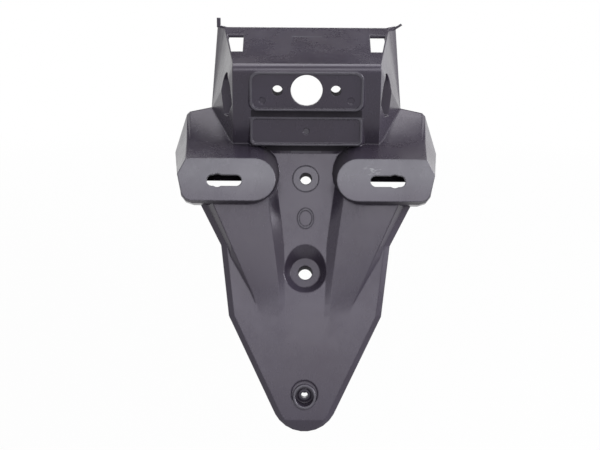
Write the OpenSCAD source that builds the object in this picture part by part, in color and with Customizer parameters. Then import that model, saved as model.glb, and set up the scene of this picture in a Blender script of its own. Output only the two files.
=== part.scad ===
// Rear fender of a motorcycle: one moulded plastic shell that hangs behind the rear wheel.
// Y points forward on the machine, Z up and X to the side. The origin is the centre of the
// seat of the middle plate bolt. The shell is open towards the wheel, on its +Y side.

/* [Tail plate] */
// Length of the plate from its tip to the neck
plate_length = 252; // [240:1:270]
// Angle between the plate and the vertical
plate_rake = 20; // [14:1:26]
// Radius of the rounded tip
tip_radius = 30; // [24:1:34]
// Distance of the lower knee of the outline from the tip
lower_knee_s = 103; // [95:1:110]
// Half width of the plate at the lower knee
lower_knee_half = 69; // [64:0.5:72]
// Distance of the upper knee of the outline from the tip
upper_knee_s = 167; // [160:1:172]
// Half width of the plate at the upper knee
upper_knee_half = 77; // [75:0.5:80]
// Half width of the plate where it runs under the wings
plate_top_half = 96; // [90:0.5:98]
// Width of the bevel along the edge of the plate
edge_bevel = 5; // [3:0.5:7]
// Drop of that bevel
edge_drop = 2.6; // [1:0.2:4]
// Length of the bevel at the tip
tip_bevel = 10; // [6:0.5:14]
// Drop of the bevel at the tip
tip_drop = 3.6; // [1:0.2:5]
// Depth of the rim that is turned forward round the plate
rim_depth = 10; // [8:0.5:16]

/* [Raised fields] */
// Half width of the flat middle strip at the wings
strip_half = 26.5; // [24:0.5:28]
// Narrowing of the middle strip towards the tip, for each mm of length
strip_taper = 0.05; // [0:0.01:0.08]
// Distance from the tip where the inner crease begins
inner_crease_s = 80; // [60:1:95]
// Height of the inner crease at the wings
inner_crease_height = 7; // [4:0.5:9]
// Distance from the tip where the outer crease begins
outer_crease_s = 113; // [104:1:120]
// Distance of the outer crease from the middle where it begins
outer_crease_x = 43; // [38:0.5:48]
// Height of the outer crease at the wings
outer_crease_height = 11; // [6:0.5:13]

/* [Signal wings] */
// Height of the flat faces above the plate
face_height = 32; // [26:0.5:38]
// Distance of the lower edge of a face from the tip of the plate
face_low_s = 203.5; // [203:0.5:207]
// Height of a face, measured along it
face_tall = 38; // [34:0.5:42]
// Distance of the inner end of a face from the middle
face_inner = 27.2; // [26:0.2:32]
// Distance of the outer tip of a face from the middle
face_outer = 114.3; // [108:0.5:120]
// Drop of the upper corner of a face to its outer tip
face_chamfer_drop = 14.4; // [10:0.2:18]
// Run of that chamfer
face_chamfer_run = 7.2; // [4:0.2:10]
// Distance of the foot of a wing from the middle, on the plate
foot_inner = 24.3; // [23:0.1:26]
// Rise of the foot of a wing on the plate, as a share of the height of its face
foot_rise = 0.72; // [0.6:0.02:0.86]
// Distance of the open front edges of the wings from the neck, forward
wing_back_y = 48.6; // [44:0.2:54]
// Distance of that edge from the middle at its inner end
wing_back_inner = 36; // [32:0.5:40]
// Distance of that edge from the middle at its widest
wing_back_outer = 126.5; // [120:0.5:132]
// Height of the top of that edge above the neck
wing_back_high = 36; // [32:0.5:40]
// Depth of the bottom of that edge below the neck
wing_back_low = 46.3; // [42:0.1:50]
// Fall of the top of that edge from the side wall to its outer corner
wing_back_drop = 7.4; // [4:0.2:10]
// Length of the signal slot
slot_length = 31; // [24:0.5:36]
// Width of the signal slot
slot_width = 9.8; // [8:0.2:11]
// Diameter of the wider round part of the slot
slot_eye = 11.8; // [11.6:0.1:13]
// Distance of the middle of the slot from the middle of the fender
slot_x = 72.6; // [66:0.2:78]
// Distance of the wider part of the slot from the middle of the slot
slot_eye_offset = 6; // [3:0.2:9]

/* [Lamp housing] */
// Height of the rear wall above the neck
wall_height = 81.3; // [74:0.1:88]
// Distance that the wall leans back at the shoulder
wall_lean = 24; // [18:0.5:28]
// Radius of the shoulder between wall and deck
shoulder_radius = 7; // [4:0.5:10]
// Length of the deck, measured forward
deck_length = 80.6; // [70:0.2:90]
// Rise of the deck over that length
deck_rise = 29.9; // [24:0.1:36]
// Half width of the housing at its shoulder
shoulder_half = 65.5; // [62:0.5:68]
// Half width of the housing at the neck
neck_half = 67; // [64:0.5:69]
// Half width of the front edge of the deck
deck_half = 78.3; // [74:0.1:80]
// How far the upper front corner of a side wall stands out from the deck
side_top_out = 7.1; // [4:0.1:9]
// How far that corner lies in front of the deck
side_top_forward = 12.7; // [9:0.1:16]
// How far the lower front corner of a side wall stands out from the neck
side_low_out = 23.8; // [20:0.1:27]
// How far that corner lies below the front edge of the deck
side_low_drop = 77; // [72:0.5:80]
// Half width of the plain deck between its corner openings
deck_opening_half = 57.9; // [50:0.1:60]
// Distance of the corner openings from the shoulder, forward
deck_opening_start = 29; // [24:0.5:34]
// Length of the corner openings, forward
deck_opening_length = 36; // [28:0.5:40]

/* [Lamp and reflector pads] */
// Width of both pads
pad_width = 101; // [94:0.5:106]
// How far a pad widens to its root on each side
pad_draft = 4; // [2:0.5:5]
// Distance of the lamp pad below the shoulder
lamp_pad_gap = 5.2; // [4:0.2:7]
// Height of the lamp pad
lamp_pad_tall = 35.5; // [33:0.5:38]
// Angle that the lamp pad faces down
lamp_pad_tilt = 9.5; // [6:0.5:12]
// Height of the top of the reflector pad above the neck
reflector_pad_top = 34.9; // [33:0.1:36]
// Height of the reflector pad
reflector_pad_tall = 26; // [22:0.5:27]
// Depth of the trays in the pads
tray_depth = 1.6; // [0.8:0.1:2.4]
// Width of the rims round the trays
tray_rim = 2; // [1.4:0.1:3]
// Diameter of the large hole for the lamp
lamp_hole = 28.4; // [22:0.2:29]
// Diameter of the two lamp screw holes
lamp_screw_hole = 9.2; // [6:0.2:10]
// Distance of a lamp screw hole from the middle
lamp_screw_x = 26; // [24:0.2:30]

/* [Plate bolts] */
// Distance of the upper bolt from the tip
upper_bolt_s = 228.4; // [224:0.2:234]
// Diameter of the flat ring round the upper bolt
upper_ring = 24; // [20:0.5:28]
// Diameter of the upper bolt hole
upper_bolt_hole = 10.4; // [8:0.2:12]
// Distance of the middle bolt from the tip
middle_bolt_s = 142.6; // [136:0.2:150]
// Diameter of the middle bolt hole
middle_bolt_hole = 12.8; // [8:0.2:14]
// Angle by which the middle bolt turns up from the plate
middle_bolt_tilt = 8; // [4:0.5:12]
// Diameter of the seat of the middle bolt
middle_seat = 27; // [22:0.5:30]
// Depth of that seat below the plate
seat_depth = 8; // [5:0.5:10]
// Distance of the lower bolt from the tip
lower_bolt_s = 31; // [29:0.2:36]
// Diameter of the lower bolt hole
lower_bolt_hole = 6.2; // [5:0.2:8]
// Depth of the cup round the lower bolt
lower_cup_depth = 5; // [3.5:0.1:6]
// Diameter of the ring round the lower bolt
lower_ring = 20.6; // [18:0.2:22]
// Length of the upper and middle bolt bosses behind the plate
boss_length = 16; // [10:0.5:20]

/* [Walls] */
// Thickness of the moulded wall
wall = 3; // [2.4:0.1:3.4]
// Thickness of the ribs inside
rib = 2.4; // [1.6:0.1:3]

/* [Hidden] */
$fn = 48;
large_round = 96;
relief = 0.6; // height of the flat rings that stand out of the plate
plastic = [0.17, 0.165, 0.18];
over = 1; // how far a cut runs past the face that it opens
front_over = 12; // how far the hollow runs out of the open front

function mix(a, b, t) = a + (b - a) * t;
function clamp(v, low, high) = max(low, min(high, v));

// Points of the plate: x across, s up from its tip, n out of its face
function plate_point(x, s, n) = [
    x,
    (s - middle_bolt_s) * sin(plate_rake) - (n + seat_depth) * cos(plate_rake),
    (s - middle_bolt_s) * cos(plate_rake) + (n + seat_depth) * sin(plate_rake)
];

// Points of the housing: y forward and z up from the neck of the plate
neck = plate_point(0, plate_length, 0);
function housing_point(x, y, z) = neck + [x, y, z];

module plate_frame(x = 0, s = 0, n = 0) {
    translate(plate_point(x, s, n)) rotate([90 - plate_rake, 0, 0]) children();
}

module housing_frame() {
    translate(neck) children();
}

module both_sides() {
    children();
    mirror([1, 0, 0]) children();
}

// Closed solid through rings of equally many points. The end faces are one polygon each,
// or the pieces that the list names by their places in a ring.
module loft(rings, pieces = []) {
    count = len(rings[0]);
    last = len(rings) - 1;
    sides = [
        for (i = [0 : last - 1]) for (j = [0 : count - 1]) let (k = (j + 1) % count)
            each [
                [i * count + j, (i + 1) * count + k, i * count + k],
                [i * count + j, (i + 1) * count + j, (i + 1) * count + k]
            ]
    ];
    ends = len(pieces) > 0 ? pieces : [[for (j = [0 : count - 1]) j]];
    far_ends = [for (piece = ends) [for (j = [len(piece) - 1 : -1 : 0]) last * count + piece[j]]];
    polyhedron(points = [for (ring = rings) each ring], faces = concat(sides, ends, far_ends));
}

function round_rect(w, h, r) = [
    for (q = [0 : 3]) for (a = [0 : 18 : 90])
        let (side_x = (q == 0 || q == 3) ? 1 : -1, side_y = q < 2 ? 1 : -1)
            [side_x * (w / 2 - r) + r * cos(90 * q + a), side_y * (h / 2 - r) + r * sin(90 * q + a)]
];

// Outline of the plate: a round tip, then straight sides through two knees
side_turn = atan2(lower_knee_s - tip_radius, lower_knee_half)
    - acos(tip_radius / norm([lower_knee_half, lower_knee_s - tip_radius]));
tip_end_s = tip_radius * (1 + sin(side_turn));
tip_end_half = tip_radius * cos(side_turn);
plate_end_s = face_low_s + 20;

function side_half(s) =
    s < lower_knee_s
        ? mix(tip_end_half, lower_knee_half, (s - tip_end_s) / (lower_knee_s - tip_end_s))
    : s < upper_knee_s
        ? mix(lower_knee_half, upper_knee_half, (s - lower_knee_s) / (upper_knee_s - lower_knee_s))
    : mix(upper_knee_half, plate_top_half, (s - upper_knee_s) / (face_low_s - upper_knee_s));

function plate_half(s, inset) =
    s < tip_end_s
        ? sqrt(pow(tip_radius - inset, 2) - pow(tip_radius - s, 2))
        : side_half(s) - inset / cos(side_turn);

// Heights of the two creases of a raised field
inner_crease_power = 1.7; // how slowly the inner crease starts
function inner_height(s) = inner_crease_height
    * pow(clamp((s - inner_crease_s) / (face_low_s - inner_crease_s), 0, 1.1), inner_crease_power);
function outer_height(s) =
    outer_crease_height * clamp((s - outer_crease_s) / (face_low_s - outer_crease_s), 0, 1.1);
function tip_height(s) = -tip_drop * clamp(1 - s / tip_bevel, 0, 1);

// Half of a cross-section of the plate, from the middle strip out to the edge, as x and n
function half_section(s, inset) =
    let (
        half = plate_half(s, inset),
        strip = strip_half - strip_taper * (face_low_s - s),
        crease_slope = (plate_top_half - 12 - outer_crease_x) / (face_low_s - outer_crease_s),
        crease_x = outer_crease_x + crease_slope * (s - outer_crease_s),
        x1 = min(strip, half * 0.25),
        x2 = min(strip + max(inner_height(s), 1.2), half * 0.4),
        x5 = half - min(edge_bevel, half * 0.2),
        x3 = clamp(crease_x, mix(x2, x5, 0.4), mix(x2, x5, 0.9)),
        x4 = min(x3 + max(outer_height(s), 1.2), mix(x3, x5, 0.9))
    )
    [
        [x1, tip_height(s)],
        [x2, tip_height(s) + inner_height(s)],
        [x3, tip_height(s) + outer_height(s)],
        [x4, tip_height(s)],
        [x5, tip_height(s)],
        [half, min(tip_height(s), -edge_drop)]
    ];

// Whole cross-section: the skin from left to right, then the back
function plate_ring(s, inset, back) =
    let (half = half_section(s, inset), last = len(half) - 1)
    concat(
        [for (i = [last : -1 : 0]) plate_point(-half[i].x, s, half[i].y - inset)],
        [for (p = half) plate_point(p.x, s, p.y - inset)],
        [for (i = [last, 2, 0]) plate_point(half[i].x, s, -back)],
        [for (i = [0, 2, last]) plate_point(-half[i].x, s, -back)]
    );
// End faces of such rings, from the left edge to the right one
plate_pieces = [[16, 17, 0, 1, 2, 3], [15, 16, 3, 4, 5], [15, 5, 6, 14], [14, 6, 7, 8, 13], [13, 8, 9, 10, 11, 12]];

function stations(inset, end) = concat(
    [for (a = [-84, -70, -56, -42, -30]) tip_radius + (tip_radius - inset) * sin(a)],
    [for (i = [0 : 3]) mix(tip_end_s + 4, lower_knee_s, i / 4)],
    [for (i = [0 : 5]) mix(lower_knee_s, upper_knee_s, i / 6)],
    [for (i = [0 : 4]) mix(upper_knee_s, end, i / 4)]
);

module plate_body() {
    loft([for (s = stations(0, plate_end_s)) plate_ring(s, 0, rim_depth)], plate_pieces);
}

// The hollow ends at the wings, and between them it narrows towards the upper bolt
neck_hollow_low = 38;
neck_hollow_top = 20;

module plate_hollow() {
    loft([for (s = stations(wall, face_low_s - 0.4)) plate_ring(s, wall, rim_depth + over)], plate_pieces);
    plate_frame(0, 0, -rim_depth - over)
        linear_extrude(rim_depth + over - wall)
            polygon([
                [-neck_hollow_low, face_low_s - 2],
                [-foot_inner - 2, face_low_s + 9],
                [-neck_hollow_top, plate_end_s - wall],
                [neck_hollow_top, plate_end_s - wall],
                [foot_inner + 2, face_low_s + 9],
                [neck_hollow_low, face_low_s - 2]
            ]);
}

module plate_ribs() {
    rib_low = rim_depth + 2 * over;
    plate_frame(0, plate_end_s / 2, -rib_low / 2)
        cube([rib, plate_end_s, rib_low + inner_crease_height], center = true);
    for (s = [66, lower_knee_s])
        plate_frame(0, s, -rib_low / 2)
            cube([2 * upper_knee_half, rib, rib_low + 2 * outer_crease_height], center = true);
}

// The ribs stop short of the rear edge of the rim
module rib_clearance() {
    plate_frame(0, plate_end_s / 2, -rim_depth)
        cube([2 * plate_top_half, 2 * plate_end_s, 3], center = true);
}

module neck_strip() {
    strip_start = plate_end_s - wall;
    plate_frame(0, strip_start, -wall)
        translate([-foot_inner - 3 * wall, 0, 0])
            cube([2 * (foot_inner + 3 * wall), plate_length - strip_start + over, wall]);
}

// One ring of a wing in its own plane: u across and v up. The inner end is a half round,
// and the top falls by a drop between its middle and its outer corner.
function wing_ring(inner, low, high, drop, top_x, tip_x, tip_v, low_x, corner, inset) =
    let (r = (high - low) / 2 - inset, cu = inner + (high - low) / 2, cv = (high + low) / 2)
    concat(
        [for (a = [90 : 15 : 270]) [cu + r * cos(a), cv + r * sin(a)]],
        [
            [low_x - inset / 2, low + inset],
            [low_x + 0.6 * corner - 0.7 * inset, low + 0.2 * corner + 0.8 * inset],
            [low_x + corner - inset, low + 0.7 * corner + 0.5 * inset],
            [tip_x - inset, tip_v],
            [top_x - inset / 2, high - drop - 0.5 * inset],
            [top_x - 3 - 0.7 * inset, high - 0.6 * drop - inset],
            [mix(cu, top_x, 0.35), high - inset]
        ]
    );

face_high_s = face_low_s + face_tall;
face_tip_s = face_high_s - face_chamfer_drop;
foot_high_s = face_high_s + foot_rise * face_height;
foot_outer = mix(face_outer, wing_back_outer, 0.4);
foot_sink = 1; // how far the foot of a wing lies inside the wall of the plate
low_run = 12; // how far the straight lower edge of a face ends before its outer tip

function face_ring(n, inset) = [
    for (p = wing_ring(face_inner, face_low_s, face_high_s, 0.6, face_outer - face_chamfer_run, face_outer,
        face_tip_s, face_outer - low_run, 7.6, inset)) plate_point(p.x, p.y, n)
];
function foot_ring(inset) = [
    for (p = wing_ring(foot_inner, face_low_s, foot_high_s, 1.6, foot_outer - 9, foot_outer,
        foot_high_s - 25, face_outer - low_run, low_run, inset)) plate_point(p.x, p.y, -foot_sink)
];
function back_ring(y, inset) = [
    for (p = wing_ring(wing_back_inner, -wing_back_low, wing_back_high, wing_back_drop, wing_back_outer - low_run,
        wing_back_outer, wing_back_high - 44, wing_back_outer - 2 * low_run - 2, 16, inset)) housing_point(p.x, y, p.y)
];

module wing_body() {
    loft([back_ring(wing_back_y, 0), foot_ring(0), face_ring(face_height, 0)]);
}

// A cross rib stands in the hollow, behind the upper half of the slot
cross_rib_y = 4;
cross_rib_z = -27;

module wing_hollow() {
    difference() {
        loft([
            back_ring(wing_back_y + front_over, wall),
            back_ring(wing_back_y, wall),
            foot_ring(wall),
            face_ring(face_height - wall, wall)
        ]);
        housing_frame() translate([foot_inner, cross_rib_y, cross_rib_z]) cube([face_outer, rib, wall_height]);
    }
}

// The housing seen from the side, as y, z and the half width there: the neck, the round
// shoulder, the front of the deck, then the upper and lower front corners of the side walls
wall_turn = atan(wall_lean / wall_height);
deck_turn = atan(deck_rise / deck_length);
shoulder = [-wall_lean, wall_height];
wall_inward = [cos(wall_turn), sin(wall_turn)];
deck_inward = [sin(deck_turn), -cos(deck_turn)];
corner_spread = wall_inward.x * deck_inward.y - wall_inward.y * deck_inward.x;
shoulder_centre = shoulder + shoulder_radius / corner_spread
    * [deck_inward.y - wall_inward.y, wall_inward.x - deck_inward.x];
deck_front = shoulder + [deck_length, deck_rise];
side_top = deck_front + [side_top_forward, 1.3];
side_low = deck_front - [6.8, side_low_drop];
side_top_half = deck_half + side_top_out;
side_low_half = neck_half + side_low_out;
neck_sink = 3;

function housing_profile(inset, front) =
    let (
        deck_flare = (side_top_half - deck_half) / (side_top.x - deck_front.x),
        low_flare = (side_low_half - neck_half) / (side_low.x - shoulder.x / 2),
        deck_end = deck_front + inset * deck_inward,
        low_z = -neck_sink - (inset > 0 ? over : 0)
    )
    concat(
        [[(neck_sink * wall_lean / wall_height + inset / cos(wall_turn)), low_z, neck_half - inset]],
        [
            for (i = [0 : 4])
                let (a = mix(180 + wall_turn, 90 + deck_turn, i / 4), r = shoulder_radius - inset)
                    [shoulder_centre.x + r * cos(a), shoulder_centre.y + r * sin(a), shoulder_half - inset]
        ],
        [
            [deck_end.x, deck_end.y, deck_half - inset],
            [side_top.x + front, side_top.y + 0.1 * front, side_top_half - inset + front * deck_flare],
            [side_low.x + front, side_low.y, side_low_half - inset + front * low_flare],
            [side_low.x + front - 6, inset > 0 ? low_z : 10, side_low_half - inset - 3]
        ]
    );

module housing_solid(inset, front) {
    profile = housing_profile(inset, front);
    count = len(profile);
    low_corner = count - 2;
    bands = [for (i = [0 : count - 1]) let (k = (i + 1) % count) [i, k, k + count, i + count]];
    rim = [for (i = [1 : count - 2]) [low_corner, (low_corner + i + 1) % count, (low_corner + i) % count]];
    other_rim = [for (f = rim) [f[0] + count, f[2] + count, f[1] + count]];
    housing_frame()
        polyhedron(
            points = concat(
                [for (p = profile) [-p[2], p[0], p[1]]],
                [for (p = profile) [p[2], p[0], p[1]]]
            ),
            faces = concat(bands, rim, other_rim)
        );
}

module housing_body() {
    housing_solid(0, 0);
}

// In front of the deck only the side walls run on
module housing_hollow() {
    housing_solid(wall, front_over);
    both_sides() housing_frame()
        translate([0, 0, wall_height - 20])
            linear_extrude(60)
                polygon([
                    [-over, deck_front.x],
                    [deck_half - wall, deck_front.x],
                    [side_top_half - wall, side_top.x + over],
                    [-over, side_top.x + over]
                ]);
}

// The openings in the corners of the deck reach out to the side walls
module deck_openings() {
    rim_left = 1.8;
    start = shoulder.x + deck_opening_start;
    end = start + deck_opening_length;
    flare = (deck_half - shoulder_half) / deck_length;
    start_half = shoulder_half + flare * deck_opening_start - rim_left;
    end_half = start_half + flare * deck_opening_length;
    both_sides() housing_frame()
        translate([0, 0, wall_height - wall])
            linear_extrude(deck_rise + 2 * wall)
                polygon([
                    [deck_opening_half, start],
                    [start_half, start],
                    [end_half, end],
                    [deck_opening_half + 1, end]
                ]);
}

// Each side wall has a small tab on its top corner. The right one is bent outward.
tab_tall = 9;
tab_deep = 5;

module top_tab(thick, lean) {
    housing_frame()
        translate([side_top_half - wall, side_top.x - tab_deep - 1, side_top.y - 2])
            rotate([0, lean, 0])
                cube([thick, tab_deep, tab_tall]);
}

// Pads for the lamp and the reflector stand out of the leaning rear wall
lamp_pad_top = wall_height - lamp_pad_gap;
lamp_pad_z = lamp_pad_top - cos(lamp_pad_tilt) * lamp_pad_tall / 2;
lamp_pad_y = shoulder.x + (wall_height - lamp_pad_z) * tan(lamp_pad_tilt);
reflector_pad_z = reflector_pad_top - reflector_pad_tall / 2;
reflector_pad_y = -wall_lean * reflector_pad_top / wall_height;
pad_root = 9;

module lamp_pad_frame() {
    housing_frame() translate([0, lamp_pad_y, lamp_pad_z]) rotate([90 + lamp_pad_tilt, 0, 0]) children();
}

module reflector_pad_frame() {
    housing_frame() translate([0, reflector_pad_y, reflector_pad_z]) rotate([90, 0, 0]) children();
}

module pad_block(tall, r) {
    loft([
        [for (p = round_rect(pad_width + 2 * pad_draft, tall + pad_draft, r + pad_draft / 2)) [p.x, p.y, -pad_root]],
        [for (p = round_rect(pad_width, tall, r)) [p.x, p.y, 0]]
    ]);
}

module pad_hollow(tall, r) {
    floor_depth = tray_depth + wall;
    translate([0, 0, -pad_root - 6])
        linear_extrude(pad_root + 6 - floor_depth)
            polygon(round_rect(pad_width - 2 * wall, tall - 2 * wall, r - wall / 2));
}

module pad_tray(tall, r) {
    translate([0, 0, -tray_depth])
        linear_extrude(tray_depth + over)
            polygon(round_rect(pad_width - 2 * tray_rim, tall - 2 * tray_rim, r - tray_rim / 2));
}

lamp_pad_corner = 7.5;
reflector_pad_corner = 4;
lamp_hole_rise = 0.8;
lamp_pip_x = 39.6;
lamp_pip_drop = 8.6;
screw_boss_length = 8;

module lamp_bosses() {
    lamp_pad_frame() for (side = [-1, 1])
        translate([side * lamp_screw_x, lamp_hole_rise, -tray_depth - wall - screw_boss_length])
            cylinder(h = screw_boss_length + wall, d = lamp_screw_hole + 2 * rib);
}

module lamp_holes() {
    lamp_pad_frame() {
        translate([0, lamp_hole_rise, -pad_root - 10]) cylinder(h = pad_root + 12, d = lamp_hole, $fn = large_round);
        for (side = [-1, 1]) {
            translate([side * lamp_screw_x, lamp_hole_rise, -pad_root - 10])
                cylinder(h = pad_root + 12, d = lamp_screw_hole);
            translate([side * lamp_pip_x, -lamp_pip_drop, -tray_depth - 1]) cylinder(h = 2, d = 6);
        }
    }
}

module reflector_pip() {
    reflector_pad_frame() translate([0, 0, -tray_depth - 0.9]) cylinder(h = 2, d = 5.6);
}

// Scoops in the side walls: a deep arched pocket, then a ledge and a floor that slopes out
scoop_reach = 40; // how far the cut runs to the side
scoop_y = 1;
scoop_half = 13;
scoop_top_z = 73.5;
scoop_ledge_z = 61;
scoop_end_z = 34;
scoop_floor_x = 58;
scoop_ledge = 3;
scoop_run = shoulder_half + 6 - scoop_floor_x;

module scoop_arch(grow) {
    translate([scoop_y, scoop_top_z - scoop_half]) circle(r = scoop_half + grow);
    translate([scoop_y - scoop_half - grow, scoop_end_z - grow])
        square([2 * (scoop_half + grow), scoop_top_z - scoop_half - scoop_end_z + grow]);
}

module scoop_profile(grow) {
    floor_x = scoop_floor_x - grow;
    ledge_z = scoop_ledge_z - grow;
    far_x = scoop_floor_x + scoop_reach;
    polygon([
        [floor_x, scoop_top_z + 2 * wall],
        [floor_x, ledge_z],
        [floor_x + scoop_ledge, ledge_z],
        [floor_x + scoop_run, scoop_end_z - grow],
        [far_x, scoop_end_z - grow],
        [far_x, scoop_top_z + 2 * wall]
    ]);
}

module scoop_solid(grow) {
    both_sides() housing_frame() intersection() {
        translate([scoop_floor_x - wall - over, 0, 0])
            rotate([90, 0, 90]) linear_extrude(scoop_reach) scoop_arch(grow);
        translate([0, scoop_y + scoop_reach / 2, 0])
            rotate([90, 0, 0]) linear_extrude(scoop_reach) scoop_profile(grow);
    }
}

module scoop_walls() {
    intersection() {
        housing_body();
        scoop_solid(wall);
    }
}

module scoops() {
    scoop_solid(0);
}

module signal_slots() {
    slot_s = (face_low_s + face_high_s) / 2 - 0.8;
    both_sides() plate_frame(slot_x, slot_s, face_height - wall - over) {
        for (side = [-1, 1])
            translate([side * (slot_length - slot_width) / 2, 0, 0]) cylinder(h = wall + 2 * over, d = slot_width);
        translate([-(slot_length - slot_width) / 2, -slot_width / 2, 0])
            cube([slot_length - slot_width, slot_width, wall + 2 * over]);
        translate([slot_eye_offset, 0, 0]) cylinder(h = wall + 2 * over, d = slot_eye);
    }
}

// Plate bolts: a plain boss at the neck, a deep seat in the middle, a ringed cup at the tip
recess_half = 20;
recess_low = 19.5;
recess_high = 26.5;
recess_sides = 36;

// The seat lies across the bolt, so it is deeper at the top than at the bottom
seat_turn = plate_rake + middle_bolt_tilt;
function seat_ring(r, depth) = [
    for (i = [0 : recess_sides - 1])
        let (a = 360 * (i + 0.5) / recess_sides, up = r * sin(a))
            [r * cos(a), up * sin(seat_turn) + depth * cos(seat_turn), up * cos(seat_turn) - depth * sin(seat_turn)]
];
function mouth_ring(n, grow) = [
    for (i = [0 : recess_sides - 1])
        let (a = 360 * (i + 0.5) / recess_sides, tall = (sin(a) > 0 ? recess_high : recess_low) + grow)
            plate_point((recess_half + grow) * cos(a), middle_bolt_s + tall * sin(a), n)
];

module recess(grow, mouth) {
    loft([seat_ring(middle_seat / 2 + grow, grow), mouth_ring(mouth, grow)]);
}

module middle_bolt_frame() {
    rotate([90 - seat_turn, 0, 0]) children();
}

module bolt_bosses() {
    plate_frame(0, upper_bolt_s, -wall - boss_length)
        cylinder(h = boss_length + wall, d = upper_bolt_hole + 2 * wall);
    plate_frame(0, upper_bolt_s, -wall) cylinder(h = wall + relief, d = upper_ring);
    recess(wall, -wall / 2);
    middle_bolt_frame() translate([0, 0, -boss_length])
        cylinder(h = boss_length - wall / 2, d = middle_bolt_hole + 2 * rib);
    lower_cup();
}

lower_ring_wall = 2.1;
lower_post = 11.4;
lower_post_tall = 1.6;

module lower_bolt_frame() {
    translate(plate_point(0, lower_bolt_s, 0)) rotate([90, 0, 0]) children();
}

module lower_cup() {
    intersection() {
        lower_bolt_frame() translate([0, 0, -lower_cup_depth - wall])
            cylinder(h = lower_cup_depth + wall + 10, d = lower_ring);
        plate_frame(0, lower_bolt_s, 0.8 - lower_ring)
            translate([-lower_ring, -lower_ring, 0]) cube([2 * lower_ring, 2 * lower_ring, lower_ring]);
    }
}

module bolt_holes() {
    plate_frame(0, upper_bolt_s, -wall - boss_length - over) cylinder(h = boss_length + wall + 4, d = upper_bolt_hole);
    recess(0, over);
    middle_bolt_frame() translate([0, 0, -boss_length - over])
        cylinder(h = boss_length + 2 * over, d = middle_bolt_hole);
    lower_bolt_frame() {
        difference() {
            translate([0, 0, -lower_cup_depth])
                cylinder(h = lower_cup_depth + 12, d = lower_ring - 2 * lower_ring_wall);
            translate([0, 0, -lower_cup_depth - over]) cylinder(h = lower_post_tall + over, d = lower_post);
        }
        translate([0, 0, -lower_cup_depth - wall - over])
            cylinder(h = lower_cup_depth + wall + over, d = lower_bolt_hole);
    }
}

// A shallow dish round the ring of the lower bolt
dish_depth = 1.2;
dish_shift = 2.5;

module dish() {
    low_r = lower_ring / 2 + 1.3;
    difference() {
        plate_frame(0, lower_bolt_s + dish_shift, -dish_depth) cylinder(h = 4, r1 = low_r, r2 = low_r + 2);
        lower_cup();
    }
}

// Plain oval ring in relief below the upper bolt
module oval_mark() {
    mark_s = 191.9;
    function oval(n, r) = [
        for (a = [0 : 15 : 359]) plate_point(r * cos(a), mark_s + 1.25 * r * sin(a), n)
    ];
    difference() {
        loft([oval(-1, 8), oval(relief, 7.4)]);
        loft([oval(-2, 5.4), oval(1, 6)]);
    }
}

module rear_fender() {
    color(plastic) difference() {
        union() {
            difference() {
                union() {
                    plate_body();
                    neck_strip();
                    both_sides() wing_body();
                    housing_body();
                    lamp_pad_frame() pad_block(lamp_pad_tall, lamp_pad_corner);
                    reflector_pad_frame() pad_block(reflector_pad_tall, reflector_pad_corner);
                }
                difference() {
                    plate_hollow();
                    difference() {
                        plate_ribs();
                        rib_clearance();
                    }
                }
                both_sides() wing_hollow();
                housing_hollow();
                lamp_pad_frame() pad_hollow(lamp_pad_tall, lamp_pad_corner);
                reflector_pad_frame() pad_hollow(reflector_pad_tall, reflector_pad_corner);
            }
            scoop_walls();
            lamp_bosses();
            bolt_bosses();
            oval_mark();
            top_tab(2.2, 58);
            mirror([1, 0, 0]) top_tab(3.4, 0);
        }
        lamp_pad_frame() pad_tray(lamp_pad_tall, lamp_pad_corner);
        reflector_pad_frame() pad_tray(reflector_pad_tall, reflector_pad_corner);
        lamp_holes();
        reflector_pip();
        deck_openings();
        scoops();
        signal_slots();
        bolt_holes();
        dish();
    }
}

rear_fender();
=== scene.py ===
"""Looks of the rear fender: satin moulded plastic in a plain white studio."""

import math

import bpy
from mathutils import Matrix, Vector


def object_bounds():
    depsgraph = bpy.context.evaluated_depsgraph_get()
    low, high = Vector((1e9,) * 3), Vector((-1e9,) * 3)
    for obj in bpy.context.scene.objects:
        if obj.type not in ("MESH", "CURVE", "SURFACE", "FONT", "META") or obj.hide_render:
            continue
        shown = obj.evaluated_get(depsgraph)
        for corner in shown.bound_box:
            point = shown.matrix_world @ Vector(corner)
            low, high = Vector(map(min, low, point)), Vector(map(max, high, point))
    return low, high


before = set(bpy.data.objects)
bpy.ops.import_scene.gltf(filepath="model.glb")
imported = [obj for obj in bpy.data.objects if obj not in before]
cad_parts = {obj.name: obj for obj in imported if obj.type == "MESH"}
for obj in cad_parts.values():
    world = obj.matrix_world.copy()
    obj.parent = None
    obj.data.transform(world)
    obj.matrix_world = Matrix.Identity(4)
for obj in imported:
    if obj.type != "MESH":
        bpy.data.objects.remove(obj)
cad_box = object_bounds()

MM = 0.001
WHITE = (1.0, 1.0, 1.0, 1.0)

# Plastic: colours, gloss and roughness
BASE_DARK = (0.032, 0.0255, 0.038, 1.0)
BASE_LIGHT = (0.039, 0.033, 0.050, 1.0)
HIGHLIGHT_COLOUR = (0.140, 0.140, 0.157, 1.0)
SCUFF_COLOUR = (0.42, 0.43, 0.45, 1.0)
DUST_COLOUR = (0.16, 0.15, 0.17, 1.0)
SHADE_COLOUR = (0.012, 0.010, 0.014, 1.0)
GLOSS_LEVEL = 0.50
GLOSS_TINT = (0.93, 0.89, 1.0, 1.0)
ROUGHNESS = (0.20, 0.33)
STREAK_ROUGHNESS = 0.02
SCUFF_ROUGHNESS = 0.25
SHADE_ROUGHNESS = 0.6

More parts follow.
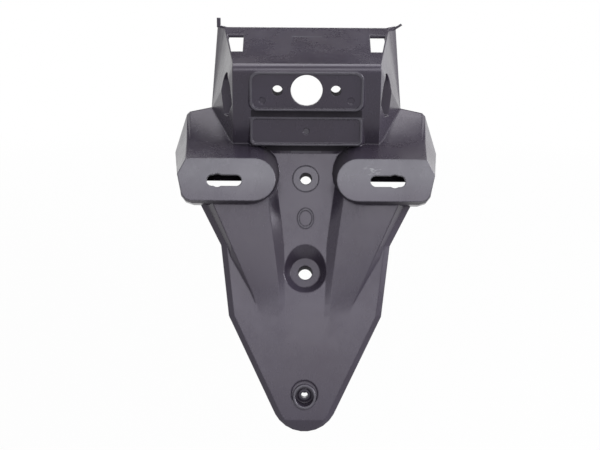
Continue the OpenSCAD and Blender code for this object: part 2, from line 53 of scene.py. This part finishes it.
# Plastic: scales of its noise textures, and how much of the dust and the scuffs shows
TONE_SCALE = 14.0
SPECK_SCALE = 900.0
PATCH_SCALE = 9.0
DUST_SHARE = 0.12
STROKE_SCALE = 330.0
STROKE_STRETCH = (0.5, 1.0, 1.6)
SCUFF_SHARE = 0.85
SHEEN_SCALE = 22.0
STREAK_SCALE = 260.0
STREAK_STRETCH = (1.0, 1.0, 0.4)
UNEVEN_SCALE = 35.0
UNEVEN_LEAST = 0.6

# Plastic: relief in the shader
EDGE_RADIUS = 1.6 * MM
EDGE_SAMPLES = 8
WAVE_SCALE = 45.0
WAVE_STRENGTH = 0.2
WAVE_HEIGHT = 0.25 * MM
GRAIN_SCALE = 1500.0
GRAIN_STRENGTH = 0.15
GRAIN_HEIGHT = 0.016 * MM

# Smooth shading: edges sharper than the limit stay sharp, with lower limits on the tail plate
# and along the faint creases below its recess
WELD_DISTANCE = 0.002 * MM
NORMAL_WEIGHT = 50
SHARP_ANGLE = math.radians(22)
PLATE_SHARP_ANGLE = math.radians(7.2)
PLATE_TOP = 84 * MM
CREASE_SHARP_ANGLE = math.radians(1.2)
STRIP_HALF = 31 * MM
TAIL_TOP = -22 * MM

# Zones are placed by position, and their strengths were set by comparing tones with the
# photograph. Some stand in for light and shadow that the lamps here don't give
ZONE_BLUR = 0.1 * MM
NO_LIMIT = -1.0

# The wing faces carry a painted highlight, paler than the rest and most so towards the top. They
# share one plane
FACE_NORMAL = Vector((0.0, -0.9397, 0.3420))
FACE_OUT = 40 * MM
FACE_TOP = 112 * MM
FACE_FADE = (74 * MM, 92 * MM)
FACE_LOW_SHARE = 0.3

# How far a painted highlight reaches below and above its surface
SKIN_BELOW = 0.4 * MM
SKIN_ABOVE = 1 * MM

# The oval ring on the neck, the rims of the two pads, and the dimple in the reflector pad
# carry a fainter painted highlight
LESSER_SHARE = 0.45
RING_OUT = (8 * MM + 0.4 * MM, 8 * MM + 2 * MM)
RING_HALF = 14 * MM
LAMP_PAD_NORMAL = Vector((0.0, -0.9863, -0.1650))
LAMP_RIM_OUT = -36.6 * MM
LAMP_RIM_HEIGHT = (147 * MM, 183 * MM)
REFLECTOR_PAD_NORMAL = Vector((0.0, -1.0, 0.0))
REFLECTOR_RIM_OUT = -19.6 * MM
REFLECTOR_RIM_HEIGHT = (114.2 * MM, 140.2 * MM)
PAD_HALF = 52 * MM
DIMPLE_PLACE = Vector((0.0, 21.6, 127.4)) * MM
DIMPLE_SQUASH = Vector((1.0, 0.3, 1.0))
DIMPLE_FADE = (2.2 * MM, 2.8 * MM)

# The scuffs lie on the face of the right wing, above its slot
SCUFF_CENTRE = Vector((57.5, -7.3, 97.0)) * MM
SCUFF_REACH = 10 * MM
SCUFF_CORE = 0.3
SCUFF_SQUASH = Vector((1.0, 1.0, 2.2))

# The bolt and screw holes carry painted shade: a point on the axis in mm, the axis, and the radius
# in mm.
# The fade is in mm beyond the radius
BORES = (
    ((0.0, 0.0, 0.0), Vector((0.0, -0.978, 0.208)), 6.4),
    ((0.0, 30.5, 80.2), FACE_NORMAL, 5.2),
    ((-26.0, 16.6, 166.1), LAMP_PAD_NORMAL, 4.6),
    ((26.0, 16.6, 166.1), LAMP_PAD_NORMAL, 4.6),
)
BORE_FADE = (0.1, 0.4)

# The gaps below the lamp pad and below the reflector pad carry painted shade, by height and
# half-width
UPPER_GAP = (140.5 * MM, 147.0 * MM)
UPPER_GAP_HALF = 50 * MM
LOWER_GAP = (108.0 * MM, 113.9 * MM)
LOWER_GAP_HALF = 38 * MM

# The risers around the wings' inner ends and the undersides of the wings carry painted shade,
# placed by their distance out from the plate and their height
RISER_OUT = (9.5 * MM, 38.8 * MM)
RISER_HEIGHT = (76 * MM, 112 * MM)
RISER_FADE = (32 * MM, 44 * MM)
RISER_SHARE = 0.85
UNDERSIDE_OUT = (20 * MM, 38.8 * MM)
UNDERSIDE_HEIGHT = (55 * MM, 76 * MM)
UNDERSIDE_SHARE = 0.7

# Camera
CAMERA_PLACE = Vector((-5.06, -859.26, 259.37)) * MM
CAMERA_TILT = math.radians(76.0)
CAMERA_ROLL = math.radians(0.4)
CAMERA_LENS = 58.68
CAMERA_SENSOR = 36.0
CAMERA_CLIP = (0.01, 100.0)

# Studio floor and world, in metres
OBJECT_MIDDLE = (0.0, 0.0, 0.03)
FLOOR_DROP = 165 * MM
FLOOR_HALF = 3.0
FLOOR_COLOUR = (0.62, 0.62, 0.62, 1.0)
FLOOR_GLOW = 0.95
FLOOR_GLOW_FADE = (0.2, 0.95)
SPECKLE_SCALE = 60.0
SPECKLE_STRENGTH = 0.1
SPECKLE_HEIGHT = 0.0004
FILL_LEVEL = 0.08

# A grey panel above and behind the object, in metres
CEILING_COLOUR = (0.18, 0.18, 0.18, 1.0)
CEILING_HEIGHT = 2.4
CEILING_HALF = 1.7
CEILING_DEPTH = (0.5, 3.3)

# The lamps: name, place, width and height in metres, and watts. The levels were fitted to
# the photograph's tones
LAMPS = (
    ("front", (0.08, -1.9, 1.0), 1.6, 1.0, 15.0),
    ("top", (0.0, 0.3, 2.2), 1.8, 1.8, 38.0),
    ("right", (2.0, -0.2, 0.9), 1.2, 1.2, 54.0),
    ("left", (-2.0, -0.2, 0.9), 1.2, 1.2, 4.0),
    ("back", (0.0, 2.0, 0.72), 1.6, 0.6, 8.0),
)


def new_material(name):
    """A material with an empty node tree, its tree and its output node."""
    material = bpy.data.materials.new(name)
    material.use_nodes = True
    tree = material.node_tree
    tree.nodes.clear()
    return material, tree, tree.nodes.new("ShaderNodeOutputMaterial")


def add(tree, kind, **inputs):
    """A node of that kind with these input values. Underscores in names stand for spaces."""
    node = tree.nodes.new(kind)
    for name, value in inputs.items():
        node.inputs[name.replace("_", " ")].default_value = value
    return node


def noise(tree, coordinates, scale, detail=3.0, roughness=0.5, stretch=None):
    """A noise texture in object space, stretched by a factor for each axis if given."""
    node = add(tree, "ShaderNodeTexNoise", Scale=scale, Detail=detail, Roughness=roughness)
    source = coordinates
    if stretch:
        mapping = add(tree, "ShaderNodeMapping", Scale=stretch)
        tree.links.new(coordinates, mapping.inputs["Vector"])
        source = mapping.outputs["Vector"]
    tree.links.new(source, node.inputs["Vector"])
    return node.outputs["Fac"]


def remap(tree, value, low, high, to_low, to_high):
    """A value taken from one range to another and kept inside it."""
    node = add(
        tree, "ShaderNodeMapRange", From_Min=low, From_Max=high, To_Min=to_low, To_Max=to_high
    )
    tree.links.new(value, node.inputs["Value"])
    return node.outputs["Result"]


def math_node(tree, operation, a, b):
    """A math node. Either input may be a number or an output."""
    node = tree.nodes.new("ShaderNodeMath")
    node.operation = operation
    for place, value in enumerate((a, b)):
        if isinstance(value, (int, float)):
            node.inputs[place].default_value = value
        else:
            tree.links.new(value, node.inputs[place])
    return node.outputs["Value"]


def vector_math(tree, operation, source, fixed=None, result="Vector"):
    """A vector math node on an output, and on a fixed second vector if given."""
    node = tree.nodes.new("ShaderNodeVectorMath")
    node.operation = operation
    tree.links.new(source, node.inputs[0])
    if fixed is not None:
        node.inputs[1].default_value = fixed
    return node.outputs[result]


def split(tree, coordinates):
    """The X, Y and Z of a vector."""
    node = tree.nodes.new("ShaderNodeSeparateXYZ")
    tree.links.new(coordinates, node.inputs["Vector"])
    return node.outputs


def blend_colour(tree, factor, a, b):
    """A colour between two, each a constant or an output."""
    node = tree.nodes.new("ShaderNodeMix")
    node.data_type = "RGBA"
    tree.links.new(factor, node.inputs["Factor"])
    for socket, value in ((node.inputs[6], a), (node.inputs[7], b)):
        if isinstance(value, tuple):
            socket.default_value = value
        else:
            tree.links.new(value, socket)
    return node.outputs[2]


def distance_to(tree, coordinates, centre, squash):
    """Distance from a fixed point in object space, with each axis scaled by squash."""
    scaled = vector_math(tree, "MULTIPLY", coordinates, squash)
    return vector_math(tree, "DISTANCE", scaled, centre * squash, "Value")


def along(tree, coordinates, direction):
    """How far a point lies along a direction."""
    return vector_math(tree, "DOT_PRODUCT", coordinates, direction, "Value")


def zone(tree, *limits):
    """1 where each value lies between its limits, and 0 elsewhere, with soft ends."""
    whole = 1.0
    for value, low, high in limits:
        rise = remap(tree, value, low - ZONE_BLUR, low + ZONE_BLUR, 0.0, 1.0)
        fall = remap(tree, value, high - ZONE_BLUR, high + ZONE_BLUR, 1.0, 0.0)
        whole = math_node(tree, "MULTIPLY", math_node(tree, "MULTIPLY", rise, fall), whole)
    return whole


def pad_rim(tree, place, normal, out, height, across):
    """1 on the rim of a pad that faces along normal, between two heights."""
    away = along(tree, place, normal)
    return zone(
        tree,
        (away, out - SKIN_BELOW, out + SKIN_ABOVE),
        (height[0], *height[1]),
        (across, NO_LIMIT, PAD_HALF),
    )


def bore_zones(tree, place):
    """1 on the walls of the bolt and screw holes, where shade is painted."""
    whole = 0.0
    for centre, axis, radius in BORES:
        offset = vector_math(tree, "SUBTRACT", place, Vector(centre) * MM)
        cross = vector_math(tree, "CROSS_PRODUCT", offset, axis)
        reach = vector_math(tree, "LENGTH", cross, result="Value")
        near, far = ((radius + fade) * MM for fade in BORE_FADE)
        wall = remap(tree, reach, near, far, 1.0, 0.0)
        whole = math_node(tree, "MAXIMUM", wall, whole)
    return whole


def gap_zones(tree, place):
    """1 where shade is painted: below the two pads, around the wings' inner ends and under the
    wings.
    """
    spot = split(tree, place)
    height = spot["Z"]
    across = math_node(tree, "ABSOLUTE", spot["X"], 0.0)
    upper = zone(tree, (height, *UPPER_GAP), (across, NO_LIMIT, UPPER_GAP_HALF))
    lower = zone(tree, (height, *LOWER_GAP), (across, NO_LIMIT, LOWER_GAP_HALF))
    from_plate = along(tree, place, FACE_NORMAL)
    riser = zone(tree, (from_plate, *RISER_OUT), (height, *RISER_HEIGHT))
    fade = remap(tree, across, *RISER_FADE, RISER_SHARE, 0.0)
    riser = math_node(tree, "MULTIPLY", riser, fade)
    underside = zone(tree, (from_plate, *UNDERSIDE_OUT), (height, *UNDERSIDE_HEIGHT))
    underside = math_node(tree, "MULTIPLY", underside, UNDERSIDE_SHARE)
    wings = math_node(tree, "MAXIMUM", riser, underside)
    return math_node(tree, "MAXIMUM", math_node(tree, "MAXIMUM", upper, lower), wings)


def painted_highlights(tree, place):
    """Painted highlights: the wing faces, pad rims, the ring on the neck and the dimple."""
    spot = split(tree, place)
    height = spot["Z"]
    across = math_node(tree, "ABSOLUTE", spot["X"], 0.0)
    from_plate = along(tree, place, FACE_NORMAL)

    faces = zone(
        tree,
        (from_plate, FACE_OUT - SKIN_BELOW, FACE_OUT + SKIN_ABOVE),
        (height, 0.0, FACE_TOP),
    )
    upwards = remap(tree, height, *FACE_FADE, FACE_LOW_SHARE, 1.0)
    faces = math_node(tree, "MULTIPLY", faces, upwards)

    ring = zone(tree, (from_plate, *RING_OUT), (across, NO_LIMIT, RING_HALF))
    lamp_rim = pad_rim(
        tree, place, LAMP_PAD_NORMAL, LAMP_RIM_OUT, (height, LAMP_RIM_HEIGHT), across
    )
    reflector_rim = pad_rim(
        tree,
        place,
        REFLECTOR_PAD_NORMAL,
        REFLECTOR_RIM_OUT,
        (height, REFLECTOR_RIM_HEIGHT),
        across,
    )
    away = distance_to(tree, place, DIMPLE_PLACE, DIMPLE_SQUASH)
    dimple = remap(tree, away, *DIMPLE_FADE, 1.0, 0.0)
    lesser = math_node(
        tree,
        "ADD",
        math_node(tree, "ADD", ring, dimple),
        math_node(tree, "ADD", lamp_rim, reflector_rim),
    )
    lesser = math_node(tree, "MULTIPLY", lesser, LESSER_SHARE)

    uneven = noise(tree, place, UNEVEN_SCALE, 5.0, 0.6)
    uneven = remap(tree, uneven, 0.3, 0.7, UNEVEN_LEAST, 1.0)
    return math_node(tree, "MULTIPLY", math_node(tree, "MAXIMUM", faces, lesser), uneven)


def plastic_relief(tree, place):
    """The normal of the plastic: rounded edges, slight waves and moulded grain."""
    rounded = add(tree, "ShaderNodeBevel", Radius=EDGE_RADIUS)
    rounded.samples = EDGE_SAMPLES
    waves = add(tree, "ShaderNodeBump", Strength=WAVE_STRENGTH, Distance=WAVE_HEIGHT)
    tree.links.new(noise(tree, place, WAVE_SCALE, 2.0), waves.inputs["Height"])
    tree.links.new(rounded.outputs["Normal"], waves.inputs["Normal"])
    grain = add(tree, "ShaderNodeBump", Strength=GRAIN_STRENGTH, Distance=GRAIN_HEIGHT)
    tree.links.new(noise(tree, place, GRAIN_SCALE, 2.0), grain.inputs["Height"])
    tree.links.new(waves.outputs["Normal"], grain.inputs["Normal"])
    return grain.outputs["Normal"]


def moulded_plastic():
    """Dark satin plastic: moulded grain, uneven sheen, faint dust and scuffs, with painted
    highlights and painted shade.
    """
    material, tree, output = new_material("moulded_plastic")
    place = tree.nodes.new("ShaderNodeTexCoord").outputs["Object"]

    tone = remap(tree, noise(tree, place, TONE_SCALE, 4.0), 0.35, 0.65, 0.0, 1.0)
    colour = blend_colour(tree, tone, BASE_DARK, BASE_LIGHT)

    specks = remap(tree, noise(tree, place, SPECK_SCALE, 2.0), 0.62, 0.74, 0.0, DUST_SHARE)
    patches = remap(tree, noise(tree, place, PATCH_SCALE, 3.0), 0.45, 0.7, 0.0, 1.0)
    colour = blend_colour(tree, math_node(tree, "MULTIPLY", specks, patches), colour, DUST_COLOUR)

    # Painted highlights: paler colour on the wing faces, pad rims, neck ring and dimple
    colour = blend_colour(tree, painted_highlights(tree, place), colour, HIGHLIGHT_COLOUR)

    away = distance_to(tree, place, SCUFF_CENTRE, SCUFF_SQUASH)
    near = remap(tree, away, SCUFF_CORE * SCUFF_REACH, SCUFF_REACH, 1.0, 0.0)
    strokes = noise(tree, place, STROKE_SCALE, 4.0, 0.6, STROKE_STRETCH)
    strokes = remap(tree, strokes, 0.50, 0.60, 0.0, SCUFF_SHARE)
    scuffs = math_node(tree, "MULTIPLY", near, strokes)
    colour = blend_colour(tree, scuffs, colour, SCUFF_COLOUR)

    sheen = remap(tree, noise(tree, place, SHEEN_SCALE, 4.0), 0.3, 0.7, *ROUGHNESS)
    streaks = noise(tree, place, STREAK_SCALE, 3.0, 0.5, STREAK_STRETCH)
    streaks = remap(tree, streaks, 0.3, 0.7, -STREAK_ROUGHNESS, STREAK_ROUGHNESS)
    sheen = math_node(tree, "ADD", sheen, streaks)
    rough_scuffs = math_node(tree, "MULTIPLY", scuffs, SCUFF_ROUGHNESS)
    sheen = math_node(tree, "ADD", sheen, rough_scuffs)

    # Painted shade: darker and rougher in the holes, below the pads and around and under the wings
    painted_shade = math_node(tree, "MAXIMUM", bore_zones(tree, place), gap_zones(tree, place))
    colour = blend_colour(tree, painted_shade, colour, SHADE_COLOUR)
    rough_shade = math_node(tree, "MULTIPLY", painted_shade, SHADE_ROUGHNESS)
    sheen = math_node(tree, "ADD", sheen, rough_shade)

    relief = plastic_relief(tree, place)
    shader = add(
        tree, "ShaderNodeBsdfPrincipled", Specular_IOR_Level=GLOSS_LEVEL, Specular_Tint=GLOSS_TINT
    )
    tree.links.new(colour, shader.inputs["Base Color"])
    tree.links.new(sheen, shader.inputs["Roughness"])
    tree.links.new(relief, shader.inputs["Normal"])
    tree.links.new(shader.outputs["BSDF"], output.inputs["Surface"])
    return material


def seen_directly(tree):
    """1 for camera, glossy and transmission rays, and 0 for the rays that light surfaces."""
    rays = tree.nodes.new("ShaderNodeLightPath").outputs
    seen = math_node(tree, "MAXIMUM", rays["Is Camera Ray"], rays["Is Glossy Ray"])
    return math_node(tree, "MAXIMUM", seen, rays["Is Transmission Ray"])


def studio_world():
    """White where it is seen, and a plain fill where it lights."""
    world = bpy.data.worlds.new("studio")
    world.use_nodes = True
    tree = world.node_tree
    tree.nodes.clear()
    output = tree.nodes.new("ShaderNodeOutputWorld")
    background = add(tree, "ShaderNodeBackground", Color=WHITE)
    level = remap(tree, seen_directly(tree), 0.0, 1.0, FILL_LEVEL, 1.0)
    tree.links.new(level, background.inputs["Strength"])
    tree.links.new(background.outputs["Background"], output.inputs["Surface"])
    bpy.context.scene.world = world


def sheet(name, corners, material):
    """A flat sheet with four corners."""
    mesh = bpy.data.meshes.new(name)
    mesh.from_pydata(corners, [], [(0, 1, 2, 3)])
    mesh.materials.append(material)
    holder = bpy.data.objects.new(name, mesh)
    bpy.context.scene.collection.objects.link(holder)
    return holder


def studio_floor(height):
    """A plain pale floor that takes the object's shadow. Its glow is full at its far edge."""
    material, tree, output = new_material("studio_floor")
    place = tree.nodes.new("ShaderNodeTexCoord").outputs["Object"]
    paint = add(tree, "ShaderNodeBsdfDiffuse", Color=FLOOR_COLOUR)
    speckle = add(tree, "ShaderNodeBump", Strength=SPECKLE_STRENGTH, Distance=SPECKLE_HEIGHT)
    tree.links.new(noise(tree, place, SPECKLE_SCALE, 3.0), speckle.inputs["Height"])
    tree.links.new(speckle.outputs["Normal"], paint.inputs["Normal"])
    glow = add(tree, "ShaderNodeEmission", Color=WHITE, Strength=1.0)
    away = distance_to(tree, place, Vector((0.0, 0.0, height)), Vector((1.0, 1.0, 1.0)))
    inner, outer = (share * FLOOR_HALF for share in FLOOR_GLOW_FADE)
    share = remap(tree, away, inner, outer, FLOOR_GLOW, 1.0)
    share = math_node(tree, "MULTIPLY", seen_directly(tree), share)
    mixed = tree.nodes.new("ShaderNodeMixShader")
    tree.links.new(share, mixed.inputs["Fac"])
    tree.links.new(paint.outputs["BSDF"], mixed.inputs[1])
    tree.links.new(glow.outputs["Emission"], mixed.inputs[2])
    tree.links.new(mixed.outputs["Shader"], output.inputs["Surface"])
    corners = [
        (x * FLOOR_HALF, y * FLOOR_HALF, height) for x, y in ((-1, -1), (1, -1), (1, 1), (-1, 1))
    ]
    floor = sheet("studio_floor", corners, material)


def studio_ceiling():
    """A grey panel above and behind, out of the camera's view, that darkens the deck's gloss.

    It is neither the floor nor a backdrop.
    """
    material, tree, output = new_material("studio_ceiling")
    paint = add(tree, "ShaderNodeBsdfDiffuse", Color=CEILING_COLOUR)
    tree.links.new(paint.outputs["BSDF"], output.inputs["Surface"])
    near, far = CEILING_DEPTH
    corners = [
        (-CEILING_HALF, near, CEILING_HEIGHT),
        (CEILING_HALF, near, CEILING_HEIGHT),
        (CEILING_HALF, far, CEILING_HEIGHT),
        (-CEILING_HALF, far, CEILING_HEIGHT),
    ]
    panel = sheet("studio_ceiling", corners, material)


def soft_light(name, place, aim, width, height, watts):
    """A soft rectangular lamp that faces a point."""
    lamp = bpy.data.lights.new(name, "AREA")
    lamp.shape = "RECTANGLE"
    lamp.size = width
    lamp.size_y = height
    lamp.energy = watts
    holder = bpy.data.objects.new(name, lamp)
    holder.location = place
    holder.rotation_euler = (Vector(aim) - Vector(place)).to_track_quat("-Z", "Y").to_euler()
    bpy.context.scene.collection.objects.link(holder)


def photo_camera():
    """The camera at the photograph's viewing angle."""
    lens = bpy.data.cameras.new("photo_camera")
    lens.lens = CAMERA_LENS
    lens.sensor_width = CAMERA_SENSOR
    lens.sensor_fit = "HORIZONTAL"
    lens.clip_start, lens.clip_end = CAMERA_CLIP
    camera = bpy.data.objects.new("photo_camera", lens)
    turned = Matrix.Rotation(CAMERA_TILT, 4, "X") @ Matrix.Rotation(CAMERA_ROLL, 4, "Z")
    camera.matrix_world = Matrix.Translation(CAMERA_PLACE) @ turned
    bpy.context.scene.collection.objects.link(camera)
    bpy.context.scene.camera = camera


def shade_by_angle():
    """A node group that keeps edges above a limit sharp, with lower limits on the tail plate."""
    group = bpy.data.node_groups.new("shade_by_angle", "GeometryNodeTree")
    group.interface.new_socket("Geometry", in_out="INPUT", socket_type="NodeSocketGeometry")
    group.interface.new_socket("Geometry", in_out="OUTPUT", socket_type="NodeSocketGeometry")
    source = group.nodes.new("NodeGroupInput")
    result = group.nodes.new("NodeGroupOutput")
    place = split(group, group.nodes.new("GeometryNodeInputPosition").outputs["Position"])
    above = math_node(group, "GREATER_THAN", place["Z"], PLATE_TOP)
    limit = math_node(group, "MULTIPLY", above, SHARP_ANGLE - PLATE_SHARP_ANGLE)
    limit = math_node(group, "ADD", limit, PLATE_SHARP_ANGLE)
    across = math_node(group, "ABSOLUTE", place["X"], 0.0)
    in_strip = math_node(group, "LESS_THAN", across, STRIP_HALF)
    on_tail = math_node(group, "LESS_THAN", place["Z"], TAIL_TOP)
    lowered = math_node(group, "MULTIPLY", in_strip, on_tail)
    lowered = math_node(group, "MULTIPLY", lowered, PLATE_SHARP_ANGLE - CREASE_SHARP_ANGLE)
    limit = math_node(group, "SUBTRACT", limit, lowered)
    angle = group.nodes.new("GeometryNodeInputMeshEdgeAngle")
    flat = group.nodes.new("FunctionNodeCompare")
    flat.operation = "LESS_THAN"
    faces = group.nodes.new("GeometryNodeSetShadeSmooth")
    faces.domain = "FACE"
    faces.inputs["Shade Smooth"].default_value = True
    edges = group.nodes.new("GeometryNodeSetShadeSmooth")
    edges.domain = "EDGE"
    group.links.new(angle.outputs["Unsigned Angle"], flat.inputs["A"])
    group.links.new(limit, flat.inputs["B"])
    group.links.new(flat.outputs["Result"], edges.inputs["Shade Smooth"])
    group.links.new(source.outputs["Geometry"], faces.inputs["Geometry"])
    group.links.new(faces.outputs["Geometry"], edges.inputs["Geometry"])
    group.links.new(edges.outputs["Geometry"], result.inputs["Geometry"])
    return group


def smooth_shading(piece):
    """Smooth shading over the curved stretches, with flat faces left flat."""
    weld = piece.modifiers.new("weld", "WELD")
    weld.merge_threshold = WELD_DISTANCE
    shading = piece.modifiers.new("shading", "NODES")
    shading.node_group = shade_by_angle()
    normals = piece.modifiers.new("normals", "WEIGHTED_NORMAL")
    normals.mode = "FACE_AREA"
    normals.weight = NORMAL_WEIGHT
    normals.keep_sharp = True


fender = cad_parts["rear_fender"]
fender.data.materials.clear()
fender.data.materials.append(moulded_plastic())
if "custom_normal" in fender.data.attributes:
    fender.data.attributes.remove(fender.data.attributes["custom_normal"])
smooth_shading(fender)

studio_world()
studio_floor(cad_box[0][2] - FLOOR_DROP)
studio_ceiling()
for name, place, width, height, watts in LAMPS:
    soft_light(name, place, OBJECT_MIDDLE, width, height, watts)
photo_camera()

bpy.context.scene.view_settings.view_transform = "Standard"
